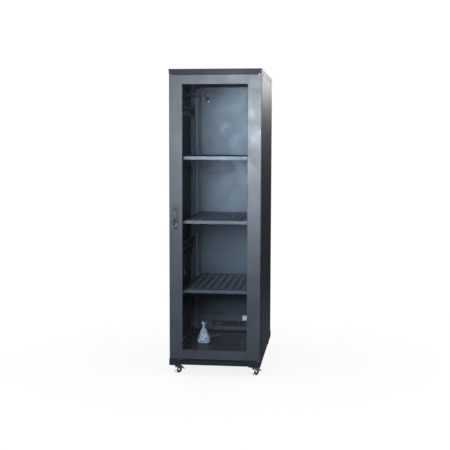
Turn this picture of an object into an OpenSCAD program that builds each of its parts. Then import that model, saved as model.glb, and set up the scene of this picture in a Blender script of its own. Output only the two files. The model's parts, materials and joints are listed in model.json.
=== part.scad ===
// Floor-standing 19 inch network cabinet on casters, with a glass front door,
// a swing handle, a steel rear door, three slotted shelves and a roof fan tray.
// Millimetres. X is to the right, Y to the rear, Z up. The origin is on the floor,
// below the middle of the cabinet.

/* [Cabinet] */
// Overall width over the side panels
cab_w = 600; // [600:10:800]
// Overall depth over the front and rear doors
cab_d = 1000; // [900:10:1200]
// Height of the 19 inch mounting space, in rack units of 44.45 mm
rack_units = 40; // [38:1:44]
// Height from the floor to the underside of the base
caster_h = 65; // [65:1:70]
// Height of the base frame
base_h = 42; // [42:1:50]
// Height of the roof: top frame and cover together
roof_h = 34; // [32:1:40]

/* [Rails] */
// Distance from the door face to the front mounting rails
rail_front = 90; // [80:5:110]
// Distance from the rear face to the rear mounting rails
rail_rear = 130; // [110:5:160]
// Square hole for a cage nut
square_hole = 9.5; // [9:0.1:10]

/* [Front door] */
// Thickness of the folded door frame
door_t = 22; // [20:1:26]
// Width of the door's two stiles
stile_w = 84; // [70:1:100]
// Height of the door's top and bottom rails
door_rail_h = 58; // [45:1:80]
// Thickness of the toughened glass
glass_t = 5; // [4:1:6]

/* [Handle] */
// Height of the handle's turning axis above the base's underside
handle_z = 1030; // [900:5:1200]
// Distance from the door's edge to the middle of the handle
handle_in = 40; // [36:1:44]
// Width of the handle's body
handle_w = 34; // [30:1:38]
// Height of the handle's body
handle_h = 150; // [145:1:160]

/* [Shelves] */
// Heights of the three shelf tops above the base's underside
shelf_heights = [490, 950, 1371];
// Thickness of the shelf sheet
shelf_t = 1.5; // [1.2:0.1:2]
// Depth of the shelf's front lip
shelf_lip = 22; // [18:1:30]

/* [Casters] */
// Diameter of the caster wheels
wheel_d = 50; // [48:1:50]
// Width of the caster wheels
wheel_w = 20; // [18:1:22]
// Direction in which the forks trail, anticlockwise from the right
caster_turn = 45; // [0:5:90]

/* [Mains lead] */
// Diameter of the fan lead
lead_d = 6; // [5.5:0.5:6.5]

/* [Hidden] */
$fn = 48;
eps = 0.01;

// Colours
paint = [0.20, 0.22, 0.26];
paint_dark = [0.11, 0.12, 0.14];
zinc = [0.75, 0.76, 0.78];
chrome = [0.85, 0.86, 0.88];
rubber = [0.08, 0.08, 0.09];

// Heights
unit_h = 44.45;
z_base = caster_h;
z_deck = z_base + base_h;
rail_z0 = z_deck + 28;
rail_z1 = rail_z0 + rack_units * unit_h;
z_roof = rail_z1 + 48;
z_top = z_roof + roof_h;
door_z0 = z_deck + 3;
door_z1 = z_roof - 4;
door_h = door_z1 - door_z0;

// Depths, measured back from the front door's face
y0 = -cab_d / 2;
y_post = y0 + 30;
y_rail = y0 + rail_front;
y_rail_rear = y0 + cab_d - rail_rear;

// Sheet thicknesses and running clearance
sheet = 1.5;
skin = 1.2;
fit = 0.05;

// Posts
post_w = 37;
post_d = 42;
post_x = cab_w / 2 - 1;

// Rails
rail_gap = 450;
hole_x = 465.1 / 2;
rail_w = 32;
rail_leg = 50;
rail_t = 2;

// Base
block_w = 76;
block_d = 135;
block_wall = 3;
block_floor = 4;
member_w = 26;
floor_z = z_base + 32;
foot_r = 5.1;
foot_in = 120;
caster_x = cab_w / 2 - 43;
caster_y = cab_d / 2 - 50;
caster_bolt = 24;

// Cable entries and hole rows in the floor
entry_r = 32;
entry_x = 76;
entry_y = 510;
row_x = 133;
row_pitch = 65;

// Hinges
pin_r = 4;
pin_x = cab_w / 2 - 14;
pin_y = y0 + door_t / 2;

// Front door
door_w = cab_w - 6;
win_w = door_w - 2 * stile_w;
win_h = door_h - 2 * door_rail_h;
win_z = door_z0 + door_rail_h;
face_t = 2;
reveal = 6;
glass_lap = 14;
door_flange = 16;

// Handle
handle_x = -door_w / 2 + handle_in;
spindle_z = z_base + handle_z;
spindle_r = 8;
body_t = 8;
body_z0 = spindle_z + 22 - handle_h;
lever_y = -12;
lever_len = 88;
lever_w = 24;
lever_slot = 18;
lever_pin_r = 2;
shell_w = 22;
shell_h = 34;
shell_z = body_z0 + 19;
plug_r = 6;
cam_y = 33;
cam_len = 31;

// Rear
rear_t = 18;
rear_z0 = z_base + 172;
rear_y = y0 + cab_d;
rear_hats = [638, 1219];
rear_lock_x = cab_w / 2 - 43;
rear_lock_z = z_base + 1000;
rear_lock_r = 9;

// Side panels and their latches
panel_y0 = y0 + 74;
panel_d = cab_d - 148;
panel_x = cab_w / 2 - 0.5;
latch_z = door_z1 - 200;
latch_ys = [0.35, 0.77];
latch_w = 20;
latch_slot_h = 32;
latch_travel = 8;

// Fan tray
fan = 120;
fan_h = 38;
fan_x = 90;
tray_z = z_roof - 14;
tray_w = 400;
tray_y0 = y0 + 300;
tray_d = 400;
rotor_r = 53;

// Depth beams
beam_zs = [150, 356, 818, 1740];
beam_h = 66;

// Mains lead: the gland, the hank and the stretches that aren't wound
gland_pos = [-190, y0 + 330, tray_z];
gland_h = 14;
relief_h = 26;
hank_pos = [-175, y0 + 330, 1840];
hank_tilt = 20;
hank_len = 150;
hank_w = 46;
hank_t = 28;
tie_u = 18;
tie_w = 8;
tie_front = 22;
// The stretch from the gland down to the hank, and the hanging loop that ends at the plug:
// x, depth from the hank's middle plane, and z
drop_route = [[-190, 0, 1906], [-190, 0, 1886], [-191, 4, 1876], [-196, 9, 1865], [-206, 10, 1856]];
loop_route = [
    [-150, -11, 1843], [-138, -13, 1841], [-128, -15, 1832], [-124, -16, 1818],
    [-124, -16, 1801], [-124, -16, 1784], [-131, -16, 1768], [-148, -16, 1760],
    [-165, -16, 1768], [-172, -17, 1784], [-172, -18, 1800], [-168, -18, 1822],
    [-160, -18, 1840], [-151, -19, 1850], [-139, -21, 1854], [-126, -22, 1852],
    [-117, -22, 1847], [-110, -22, 1839]
];
plug_pos = [-110, y0 + 308, 1839];
plug_turn = 139;
plug_len = 36;
prong_len = 19;

// Earth lead on the floor
earth_d = 4;
earth_pos = [-150, y0 + 815, floor_z];
earth_route = [
    [-150, 797, 100.2], [-150, 788, 99.8], [-146, 775, 99.2], [-138, 768, 99.2],
    [-127, 766, 99.2], [-116, 770, 99.2], [-106, 779, 99.2], [-97, 790, 99.2],
    [-88, 800, 99.2], [-78, 809, 99.4], [-67, 817, 99.8]
];
ring_pos = [-52, y0 + 829, floor_z];

// Bag of fixings on the floor
bag_pos = [-150, y0 + 560, floor_z];

module box(x, y, z) translate([x[0], y[0], z[0]]) cube([x[1] - x[0], y[1] - y[0], z[1] - z[0]]);

module both_sides() for (s = [0, 1]) mirror([s, 0, 0]) children();
module front_and_rear() for (s = [0, 1]) mirror([0, s, 0]) children();
module four_corners() both_sides() front_and_rear() children();

module rounded(w, h, r) {
    square([w - 2 * r, h], center = true);
    square([w, h - 2 * r], center = true);
    for (x = [-1, 1], y = [-1, 1]) translate([x * (w / 2 - r), y * (h / 2 - r)]) circle(r);
}

module slot(length, width) {
    square([length - width, width], center = true);
    for (x = [-1, 1]) translate([x * (length - width) / 2, 0]) circle(width / 2);
}

// A cylinder along Y from y to y + h
module along_y(x, y, z, r, h) translate([x, y, z]) rotate([-90, 0, 0]) cylinder(r = r, h = h);

// A shape drawn in the XZ plane, made h deep from y backwards
module upright(y, h) translate([0, y + h, 0]) rotate([90, 0, 0]) linear_extrude(h) children();

// ---- Base ----

module corner_block() {
    w = cab_w / 2;
    difference() {
        box([w - block_w, w], [y0, y0 + block_d], [z_base, z_deck]);
        box([w - block_w - 1, w - block_wall], [y0 + block_wall, y0 + block_d + 1],
            [z_base + block_floor, z_deck - block_wall]);
    }
    translate([caster_x, y0 + foot_in, z_base + block_floor - eps]) cylinder(r = 10, h = 8 + eps);
}

module base_members() {
    w = cab_w / 2;
    both_sides() difference() {
        box([w - member_w, w - 1], [y0 + block_d, -y0 - block_d], [z_base, z_deck]);
        box([w - member_w - 1, w - 3], [y0 + block_d - 1, -y0 - block_d + 1],
            [z_base + 2, floor_z - sheet - 2]);
        box([w - member_w - 1, w - 3], [y0 + block_d - 1, -y0 - block_d + 1],
            [floor_z - sheet, z_deck - 2]);
    }
    front_and_rear() {
        difference() {
            box([-w + block_w, w - block_w], [y0 + 12, y0 + 12 + member_w], [z_base + 2, z_deck - 3]);
            box([-w + block_w - 1, w - block_w + 1], [y0 + 14, y0 + 13 + member_w],
                [z_base + 4, floor_z - sheet - 2]);
            box([-w + block_w - 1, w - block_w + 1], [y0 + 14, y0 + 13 + member_w],
                [floor_z - sheet, z_deck - 5]);
        }
        box([-w + block_w, w - block_w], [y0 + 2, y0 + 12 + member_w], [z_deck - 3, z_deck]);
    }
}

module base_frame() color(paint) difference() {
    union() {
        four_corners() corner_block();
        base_members();
    }
    four_corners() {
        translate([caster_x, y0 + foot_in, z_base - 1]) cylinder(r = foot_r, h = 14);
        for (a = [-1, 1], b = [-1, 1])
            translate([caster_x + a * caster_bolt, -caster_y + b * caster_bolt, z_base - 1])
                cylinder(r = 4.2, h = 6);
    }
}

module base_floor() color(paint_dark) {
    inner = cab_w / 2 - member_w - 0.2;
    notch = cab_w / 2 - block_w - 0.2;
    translate([0, 0, floor_z - sheet]) linear_extrude(sheet) difference() {
        union() {
            square([2 * notch, cab_d - 2 * (14 + 0.2)], center = true);
            square([2 * (cab_w / 2 - 3.2), cab_d - 2 * (block_d + 0.2)], center = true);
        }
        for (s = [-1, 1]) translate([s * entry_x, y0 + entry_y]) circle(entry_r);
        for (s = [-1, 1], y = [160 : row_pitch : cab_d - 160])
            translate([s * row_x, y0 + y]) circle(4);
        translate([0, -y0 - 100]) square([300, 70], center = true);
        translate([earth_pos[0], earth_pos[1]]) circle(3.2);
    }
    // Cover plate over the rear cable entry, on four feet
    difference() {
        box([-175, 175], [-y0 - 145, -y0 - 55], [floor_z, floor_z + 1.5]);
        for (x = [-160, 160]) translate([x, -y0 - 100, floor_z - 1]) cylinder(r = 3.2, h = 4);
    }
}

module floor_grommets() color(rubber) for (s = [-1, 1])
    translate([s * entry_x, y0 + entry_y, floor_z]) rotate_extrude() {
        translate([entry_r - 4, -3]) square([3.9, 6]);
        translate([entry_r - 4, 0]) square([11, 3]);
        translate([entry_r - 4, -4.5]) square([3.9, 2]);
    }

// ---- Roof ----

module top_frame() color(paint) {
    w = cab_w / 2 - 2;
    d = cab_d / 2 - 2;
    difference() {
        box([-w, w], [-d, d], [z_roof, z_top - 2]);
        box([-w + 2, w - 2], [-d + 2, d - 2], [z_roof + 2, z_top]);
        box([-w + 42, w - 42], [-d + 48, d - 48], [z_roof - 1, z_top]);
        four_corners() translate([w - 20, d - 62, z_roof - 1]) cylinder(r = 5.1, h = 30);
    }
    // Lifting-eye bosses in the corners
    four_corners() translate([w - 20, d - 62, z_roof + 2 - eps]) difference() {
        cylinder(r = 11, h = z_top - z_roof - 4);
        translate([0, 0, -1]) cylinder(r = 5.1, h = z_top);
    }
    // Headers between the posts
    front_and_rear() difference() {
        box([-w + 38, w - 38], [-d + 30, -d + 60], [z_roof - 28, z_roof + eps]);
        box([-w + 37, w - 37], [-d + 32, -d + 61], [z_roof - 26, z_roof - 2]);
    }
}

module top_cover() color(paint) difference() {
    box([-cab_w / 2, cab_w / 2], [y0, -y0], [z_top - 14, z_top]);
    box([-cab_w / 2 + 1.5, cab_w / 2 - 1.5], [y0 + 1.5, -y0 - 1.5], [z_top - 15, z_top - 2]);
    for (s = [-1, 1]) translate([s * fan_x, 0, z_top - 3]) cylinder(r = 56, h = 4);
    translate([0, -y0 - 130, z_top - 3]) linear_extrude(4) slot(260, 60);
    four_corners() translate([cab_w / 2 - 22, cab_d / 2 - 64, z_top - 3]) cylinder(r = 5.1, h = 4);
    for (s = [-1, 1], y = [-230, 230], i = [-4 : 4])
        translate([s * 110 + i * 18, y, z_top - 3]) linear_extrude(4) rotate(90) slot(90, 6);
}

// ---- Posts and rails ----

// The front left post, from its outer front corner
module post_profile() {
    square([post_w, sheet]);
    square([sheet, post_d]);
    translate([0, post_d - sheet]) square([14, sheet]);
    translate([post_w - sheet, 0]) square([sheet, 16]);
}

module post() translate([-post_x, y_post, z_deck]) linear_extrude(z_roof - z_deck) post_profile();

// The lock's cam reaches through a window in the front left post
module post_front_left() color(paint) difference() {
    post();
    box([-post_x + 8, -post_x + post_w + 2], [y_post - 1, y_post + 18],
        [spindle_z - 37, spindle_z + 37]);
}
module post_front_right() color(paint) mirror([1, 0, 0]) post();
module post_rear_left() color(paint) mirror([0, 1, 0]) post();
module post_rear_right() color(paint) mirror([1, 0, 0]) mirror([0, 1, 0]) post();

// Angle rail with three square holes in each rack unit; the face is at y
module rail(y) {
    hole_zs = [for (u = [0 : rack_units - 1], h = [6.35, 22.225, 38.1]) rail_z0 + u * unit_h + h];
    upright(y, rail_t) difference() {
        translate([-rail_gap / 2 - rail_w, rail_z0]) square([rail_w, rail_z1 - rail_z0]);
        for (z = hole_zs) translate([-hole_x, z]) square(square_hole, center = true);
    }
    translate([-rail_gap / 2 - rail_w, y, 0]) rotate([90, 0, 90]) linear_extrude(rail_t) difference() {
        translate([0, rail_z0]) square([rail_leg, rail_z1 - rail_z0]);
        for (u = [0 : rack_units - 1]) translate([32, rail_z0 + (u + 0.5) * unit_h]) circle(3.5);
    }
    // Feet that stand on the deck and reach the header
    for (z = [[z_deck, rail_z0 + eps], [rail_z1 - eps, z_roof]])
        box([-rail_gap / 2 - rail_w, -rail_gap / 2 - rail_w + rail_t], [y, y + rail_leg], z);
}
module rail_front_left() color(paint_dark) rail(y_rail);
module rail_front_right() color(paint_dark) mirror([1, 0, 0]) rail(y_rail);
module rail_rear_left() color(paint_dark) mirror([0, 1, 0]) rail(-y_rail_rear);
module rail_rear_right() color(paint_dark) mirror([1, 0, 0]) mirror([0, 1, 0]) rail(-y_rail_rear);

// Hat-section beams that tie the front and rear posts together
module depth_beams() color(paint) both_sides() for (z = beam_zs) {
    x = -rail_gap / 2 - rail_w;
    y = y_post + 16;
    for (s = [-1, 1]) {
        box([x - 2, x], [y, -y], [z + s * (beam_h / 2 - 8) - 8, z + s * (beam_h / 2 - 8) + 8]);
        box([x - 20, x], [y, -y], [z + s * (beam_h / 2 - 17) - 1, z + s * (beam_h / 2 - 17) + 1]);
    }
    box([x - 20, x - 18], [y, -y], [z - beam_h / 2 + 16, z + beam_h / 2 - 16]);
    for (y1 = [y, -y - 3]) box([-post_x + sheet, x], [y1, y1 + 3], [z - beam_h / 2, z + beam_h / 2]);
}

// ---- Side panels ----

module side_panel() color(paint) difference() {
    union() {
        difference() {
            box([-panel_x, -panel_x + 14], [panel_y0, panel_y0 + panel_d], [door_z0, door_z1]);
            box([-panel_x + skin, -panel_x + 15], [panel_y0 + skin, panel_y0 + panel_d - skin],
                [door_z0 + skin, door_z1 - skin]);
        }
        for (z = [0.33, 0.66]) box([-panel_x + skin - eps, -panel_x + 11],
            [panel_y0 + 30, panel_y0 + panel_d - 30],
            [door_z0 + z * door_h - 16, door_z0 + z * door_h + 16]);
    }
    for (k = latch_ys) box([-panel_x - 1, -panel_x + 5],
        [panel_y0 + k * panel_d - latch_w / 2 - 1, panel_y0 + k * panel_d + latch_w / 2 + 1],
        [latch_z - latch_slot_h + 11, latch_z + 11]);
}
module side_panel_left() side_panel();
module side_panel_right() mirror([1, 0, 0]) side_panel();

// Two thumb latches on each side panel, pulled down together to free it
module side_latch() color(rubber) for (k = latch_ys) translate([0, panel_y0 + k * panel_d, latch_z]) {
    box([-panel_x - 0.4, -panel_x + 3], [-latch_w / 2, latch_w / 2], [-10, 10]);
    box([-panel_x + 1.7, -panel_x + 4], [-16, 16], [-30, 22]);
    box([-panel_x + 1.7, -panel_x + 4], [-6, 6], [22 - eps, 60]);
    box([-panel_x - 1.6, -panel_x], [-latch_w / 2, latch_w / 2], [-10, -6]);
}
module side_latch_left() side_latch();
module side_latch_right() mirror([1, 0, 0]) side_latch();

// ---- Shelves and fasteners ----

// Shelf edges stand on the rails' faces by an ear at each corner
ear_x = rail_gap / 2 - 4;
ear_y = y_rail - shelf_t;
ear_y_rear = y_rail_rear + shelf_t;
ear_w = 20;
ear_drop = 40;

module shelf(z) color(paint) {
    mid = (y_rail + y_rail_rear) / 2;
    deep = y_rail_rear - y_rail - 4;
    translate([0, mid, z - shelf_t]) linear_extrude(shelf_t) difference() {
        square([2 * ear_x, deep], center = true);
        for (i = [-3.5 : 3.5], j = [-10 : 10]) translate([i * 50, j * 34]) slot(34, 8);
    }
    for (s = [-1, 1]) {
        box([-ear_x, ear_x], [mid + s * (deep / 2 - shelf_t / 2) - shelf_t / 2,
            mid + s * (deep / 2 - shelf_t / 2) + shelf_t / 2], [z - shelf_lip, z]);
        box([min(s * ear_x, s * (ear_x - shelf_t)), max(s * ear_x, s * (ear_x - shelf_t))],
            [ear_y, ear_y_rear], [z - ear_drop, z]);
    }
    both_sides() for (y = [ear_y, y_rail_rear]) difference() {
        box([ear_x - shelf_t, ear_x + ear_w], [y, y + shelf_t], [z - ear_drop, z]);
        for (h = shelf_holes(z)) along_y(hole_x, y - 1, h, 3.4, shelf_t + 2);
    }
}
// The two square holes that lie behind a shelf's ear
function shelf_holes(z) = let (u = floor((z - 12 - rail_z0) / unit_h) * unit_h + rail_z0)
    [for (h = [-6.35, 6.35, 22.225, 38.1]) if (u + h > z - ear_drop + 4 && u + h < z - 4) u + h];
module shelf_lower() shelf(z_base + shelf_heights[0]);
module shelf_middle() shelf(z_base + shelf_heights[1]);
module shelf_upper() shelf(z_base + shelf_heights[2]);

// M6 pan head screw with its cage nut; the head is at the origin and the screw points along +Y
module rack_screw(grip) {
    rotate([-90, 0, 0]) {
        difference() {
            translate([0, 0, -3.5]) cylinder(r = 6, h = 3.5);
            for (a = [0, 90]) rotate(a) translate([-3, -0.6, -4]) cube([6, 1.2, 2]);
        }
        translate([0, 0, -eps]) cylinder(r = 2.9, h = grip + 9);
    }
    translate([0, grip, 0]) difference() {
        union() {
            translate([-6.5, 0, -7]) cube([13, 1.6, 14]);
            translate([-4.5, 0, -5]) cube([9, 4.5, 10]);
        }
        along_y(0, -1, 0, 3, 8);
    }
}

module caster_bolt_set() four_corners() for (a = [-1, 1], b = [-1, 1])
    translate([caster_x + a * caster_bolt, -caster_y + b * caster_bolt, z_base - 2.5]) {
        translate([0, 0, -4.5]) cylinder(r = 6.5, h = 4.5, $fn = 6);
        translate([0, 0, -eps]) cylinder(r = 4, h = 8);
    }

module frame_screws() color(zinc) {
    both_sides() {
        for (s = shelf_heights, z = shelf_holes(z_base + s)) {
            translate([hole_x, ear_y, z]) rack_screw(shelf_t + rail_t);
            mirror([0, 1, 0]) translate([hole_x, -ear_y_rear, z]) rack_screw(shelf_t + rail_t);
        }
        // Beam to rail screws
        for (z = beam_zs, y = [y_rail + 34, y_rail_rear - 34])
            translate([rail_gap / 2 + rail_w - rail_t, y, z + beam_h / 2 - 7]) rotate([0, -90, 0])
                cylinder(r = 5, h = 3);
    }
    caster_bolt_set();
}

// ---- Doors ----

module hinge_boss(x, y, z, h) translate([x, y, z]) cylinder(r = 8, h = h);
module hinge_bore(x, y, z, h) translate([x, y, z]) cylinder(r = pin_r + fit, h = h);

module door_frame() color(paint) {
    w = door_w / 2;
    zc = (door_z0 + door_z1) / 2;
    difference() {
        union() {
            // Face, outer edges and rear flanges, folded from one sheet
            difference() {
                box([-w, w], [y0, y0 + door_t], [door_z0, door_z1]);
                box([-w + face_t, w - face_t], [y0 + face_t, y0 + door_t - face_t],
                    [door_z0 + face_t, door_z1 - face_t]);
                box([-w + door_flange, w - door_flange], [y0 + face_t + 1, y0 + door_t + 1],
                    [door_z0 + door_flange, door_z1 - door_flange]);
            }
            // Reveal round the window
            box([-win_w / 2 - face_t, win_w / 2 + face_t], [y0 + eps, y0 + reveal],
                [win_z - face_t, win_z + win_h + face_t]);
            // Punched stiffeners down the two stiles
            for (s = [-1, 1]) translate([s * (win_w / 2 + glass_lap + 17), 0, 0])
                box([-9, 9], [y0 + 8, y0 + door_t], [door_z0 + 1, door_z1 - 1]);
            hinge_boss(pin_x, pin_y, door_z0, 18);
            hinge_boss(pin_x, pin_y, door_z1 - 18, 18);
        }
        box([-win_w / 2, win_w / 2], [y0 - 1, y0 + door_t], [win_z, win_z + win_h]);
        for (s = [-1, 1]) translate([s * (win_w / 2 + glass_lap + 17), 0, 0])
            box([-7, 7], [y0 + 7, y0 + door_t - 2], [door_z0 + 2, door_z1 - 2]);
        hinge_bore(pin_x, pin_y, door_z0 - 1, 16);
        hinge_bore(pin_x, pin_y, door_z1 - 15, 16);
        // Cut-out for the handle's rear housing
        box([handle_x - 11.5, handle_x + 11.5], [y0 - 1, y0 + door_t + 1],
            [spindle_z - 106, spindle_z + 14]);
    }
}

module door_glass() color([0.65, 0.75, 0.8, 0.35])
    box([-win_w / 2 - glass_lap, win_w / 2 + glass_lap],
        [y0 + reveal + 0.5, y0 + reveal + 0.5 + glass_t],
        [win_z - glass_lap, win_z + win_h + glass_lap]);

module glass_gasket() color(rubber) {
    difference() {
        union() {
            box([-win_w / 2, win_w / 2], [y0 + 1.5, y0 + reveal + 0.5],
                [win_z, win_z + win_h]);
            box([-win_w / 2 - glass_lap, win_w / 2 + glass_lap], [y0 + reveal, y0 + reveal + 0.5],
                [win_z - glass_lap, win_z + win_h + glass_lap]);
        }
        box([-win_w / 2 + 2, win_w / 2 - 2], [y0, y0 + 20], [win_z + 2, win_z + win_h - 2]);
    }
}

// Pins that both doors hang on, each with a washer that carries the door
module hinge_pin(x, y, z, up) translate([x, y, z]) mirror([0, 0, up ? 0 : 1]) {
    cylinder(r = 8, h = 2);
    translate([0, 0, 2 - eps]) cylinder(r = pin_r, h = 13);
}

module hinge_pins() color(zinc) {
    hinge_pin(pin_x, pin_y, z_deck, true);
    hinge_pin(pin_x, pin_y, z_roof, false);
    hinge_pin(-pin_x, rear_y - rear_t / 2, rear_z0 - 3, true);
    hinge_pin(-pin_x, rear_y - rear_t / 2, z_roof, false);
}

module rear_door() color(paint) {
    w = door_w / 2;
    difference() {
        union() {
            difference() {
                box([-w, w], [rear_y - rear_t, rear_y], [rear_z0, door_z1]);
                box([-w + skin, w - skin], [rear_y - rear_t + skin, rear_y - skin],
                    [rear_z0 + skin, door_z1 - skin]);
                box([-w + 16, w - 16], [rear_y - rear_t - 1, rear_y - skin],
                    [rear_z0 + 16, door_z1 - 16]);
            }
            hinge_boss(-pin_x, rear_y - rear_t / 2, rear_z0, 18);
            hinge_boss(-pin_x, rear_y - rear_t / 2, door_z1 - 18, 18);
            // Hat-section stiffeners
            for (z = rear_hats) difference() {
                box([-w + 22, w - 22], [rear_y - 14, rear_y - skin + eps],
                    [z_base + z - 17, z_base + z + 17]);
                box([-w + 20, w - 20], [rear_y - 12.5, rear_y - skin],
                    [z_base + z - 15.5, z_base + z + 15.5]);
            }
        }
        hinge_bore(-pin_x, rear_y - rear_t / 2, rear_z0 - 1, 16);
        hinge_bore(-pin_x, rear_y - rear_t / 2, door_z1 - 15, 16);
        along_y(rear_lock_x, rear_y - 10, rear_lock_z, rear_lock_r + 2, 20);
    }
}

module rear_lower_panel() color(paint) {
    w = door_w / 2;
    z1 = rear_z0 - 3;
    difference() {
        box([-w, w], [rear_y - rear_t, rear_y], [z_deck, z1]);
        box([-w + skin, w - skin], [rear_y - rear_t - 1, rear_y - skin],
            [z_deck + skin, z1 - skin]);
        box([-150, 150], [rear_y - 5, rear_y + 1], [z_deck + 30, z_deck + 62]);
    }
    // Pressed stiffener above the cable slot
    difference() {
        box([-w + 12, w - 12], [rear_y - 10, rear_y - skin + eps], [z_deck + 74, z_deck + 112]);
        box([-w + 11, w - 11], [rear_y - 8.8, rear_y - skin], [z_deck + 76, z_deck + 110]);
    }
    // Lugs that reach the rear posts
    both_sides() box([w - 30, w - 28.5], [rear_y - 30, rear_y - 3], [z_deck, z_deck + 24]);
}

module rear_lock_shell() color(chrome) difference() {
    union() {
        along_y(rear_lock_x, rear_y, rear_lock_z, 15, 3);
        along_y(rear_lock_x, rear_y - 14, rear_lock_z, rear_lock_r + 1.9, 14 + eps);
    }
    along_y(rear_lock_x, rear_y - 20, rear_lock_z, rear_lock_r + fit, 30);
}

module rear_lock_cam() color(zinc) difference() {
    union() {
        along_y(rear_lock_x, rear_y - 22, rear_lock_z, rear_lock_r, 24);
        box([rear_lock_x - 8, rear_lock_x + 26], [rear_y - 25, rear_y - 22 + eps],
            [rear_lock_z - 8, rear_lock_z + 8]);
        along_y(rear_lock_x, rear_y - 27.5, rear_lock_z, 5, 3);
    }
    box([rear_lock_x - 1, rear_lock_x + 1], [rear_y - 4, rear_y + 3],
        [rear_lock_z - 5, rear_lock_z + 5]);
}

// ---- Swing handle ----

module handle_body() color(paint_dark) difference() {
    union() {
        upright(y0 - body_t, body_t) translate([handle_x, body_z0 + handle_h / 2])
            rounded(handle_w, handle_h, 7);
        box([handle_x - 11, handle_x + 11], [y0 - eps, y0 + 20],
            [spindle_z - 105, spindle_z + 13]);
    }
    along_y(handle_x, y0 - 10, spindle_z, spindle_r + fit, 40);
    along_y(handle_x, y0 - 9, shell_z, plug_r + fit, 12);
    box([handle_x - 8, handle_x + 8], [y0 + 4, y0 + 21], [spindle_z - 98, spindle_z - 14]);
}

module lock_spindle() color(zinc) difference() {
    union() {
        along_y(handle_x, y0 - body_t, spindle_z, spindle_r, 32);
        along_y(handle_x, y0 - 17, spindle_z, 13, 17 - body_t - 0.3);
        along_y(handle_x, y0 - body_t - 0.3 - eps, spindle_z, spindle_r, 1);
        box([handle_x - 4, handle_x + 4], [y0 + 24 - eps, y0 + cam_y + 7],
            [spindle_z - 4, spindle_z + 4]);
    }
    difference() {
        box([handle_x - lever_slot / 2, handle_x + lever_slot / 2],
            [y0 - 18, y0 - body_t - 0.3 + eps], [spindle_z - 20, spindle_z + 4.6]);
        translate([handle_x - 15, y0 + lever_y, spindle_z]) rotate([0, 90, 0])
            cylinder(r = lever_pin_r, h = 30);
    }
}

// The lever is a bowed bar: seen from the side its outer face is an arc
module handle_lever() color(paint_dark) {
    bow_r = 340;
    difference() {
        union() {
            translate([handle_x - lever_slot / 2 + 0.3, y0 + lever_y, spindle_z]) rotate([0, 90, 0])
                cylinder(r = 3.7, h = lever_slot - 0.6);
            box([handle_x - lever_slot / 2 + 0.3, handle_x + lever_slot / 2 - 0.3],
                [y0 + lever_y - 3.2, y0 + lever_y + 2.8], [spindle_z - 16, spindle_z]);
            intersection() {
                upright(y0 - 24, 24 - body_t - 0.8)
                    translate([handle_x, spindle_z - 14.5 - (lever_len - 14) / 2])
                        rounded(lever_w, lever_len - 14, 6);
                translate([handle_x - 20, y0 - 21 + bow_r, spindle_z - lever_len / 2 - 6])
                    rotate([0, 90, 0]) cylinder(r = bow_r, h = 40, $fn = 256);
            }
        }
        translate([handle_x - 15, y0 + lever_y, spindle_z]) rotate([0, 90, 0])
            cylinder(r = lever_pin_r + fit, h = 30);
    }
}

// The cam's tip stops short of the post's lip, so the door is free to swing
module lock_cam() color(zinc) difference() {
    union() {
        box([handle_x - cam_len, handle_x], [y0 + cam_y, y0 + cam_y + 3],
            [spindle_z - 8, spindle_z + 8]);
        along_y(handle_x, y0 + cam_y, spindle_z, 8, 3);
    }
    box([handle_x - 4.1, handle_x + 4.1], [y0 + cam_y - 1, y0 + cam_y + 5],
        [spindle_z - 4.1, spindle_z + 4.1]);
}

module lock_shell() color(chrome) difference() {
    upright(y0 - 16, 16 - body_t) translate([handle_x, shell_z]) rounded(shell_w, shell_h, 5);
    along_y(handle_x, y0 - 20, shell_z, plug_r + fit, 20);
}

module key_plug() color(chrome) difference() {
    union() {
        along_y(handle_x, y0 - 17, shell_z, plug_r, 16);
        along_y(handle_x, y0 - 18, shell_z, plug_r - 1, 1.5);
    }
    box([handle_x - 0.9, handle_x + 0.9], [y0 - 19, y0 - 6], [shell_z - 4, shell_z + 4]);
}

// ---- Fan tray ----

module fan_tray() color(paint) {
    difference() {
        box([-tray_w / 2, tray_w / 2], [tray_y0, tray_y0 + tray_d], [tray_z, tray_z + sheet]);
        for (s = [-1, 1]) translate([s * fan_x, 0, tray_z - 1]) cylinder(r = 55, h = 4);
        translate([gland_pos[0], gland_pos[1], tray_z - 1]) cylinder(r = 6.1, h = 4);
    }
    for (s = [-1, 1]) {
        box([-tray_w / 2, tray_w / 2],
            [s < 0 ? tray_y0 : tray_y0 + tray_d - sheet, s < 0 ? tray_y0 + sheet : tray_y0 + tray_d],
            [tray_z, tray_z + 20]);
        box([s < 0 ? -cab_w / 2 + 38 : tray_w / 2 - 20, s < 0 ? -tray_w / 2 + 20 : cab_w / 2 - 38],
            [tray_y0 + 40, tray_y0 + tray_d - 40], [tray_z + 12, z_roof]);
        box([s * (tray_w / 2 - 19) - 1, s * (tray_w / 2 - 19) + 1],
            [tray_y0 + 40, tray_y0 + tray_d - 40], [tray_z + sheet - eps, tray_z + 12 + eps]);
    }
}

module fan_frames() color(rubber) for (s = [-1, 1]) translate([s * fan_x, 0, tray_z + sheet]) {
    difference() {
        linear_extrude(fan_h) rounded(fan, fan, 6);
        translate([0, 0, -1]) cylinder(r = 56, h = fan_h + 2);
        for (a = [0 : 90 : 270]) rotate(a) translate([52.5, 52.5, -1]) cylinder(r = 2.2, h = fan_h + 2);
    }
    difference() {
        union() {
            cylinder(r = 21, h = 4);
            for (a = [45 : 90 : 315]) rotate(a) translate([18, -2.5, 0]) cube([39, 5, 4]);
        }
        translate([0, 0, -1]) cylinder(r = 2 + fit, h = 6);
    }
}

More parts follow.
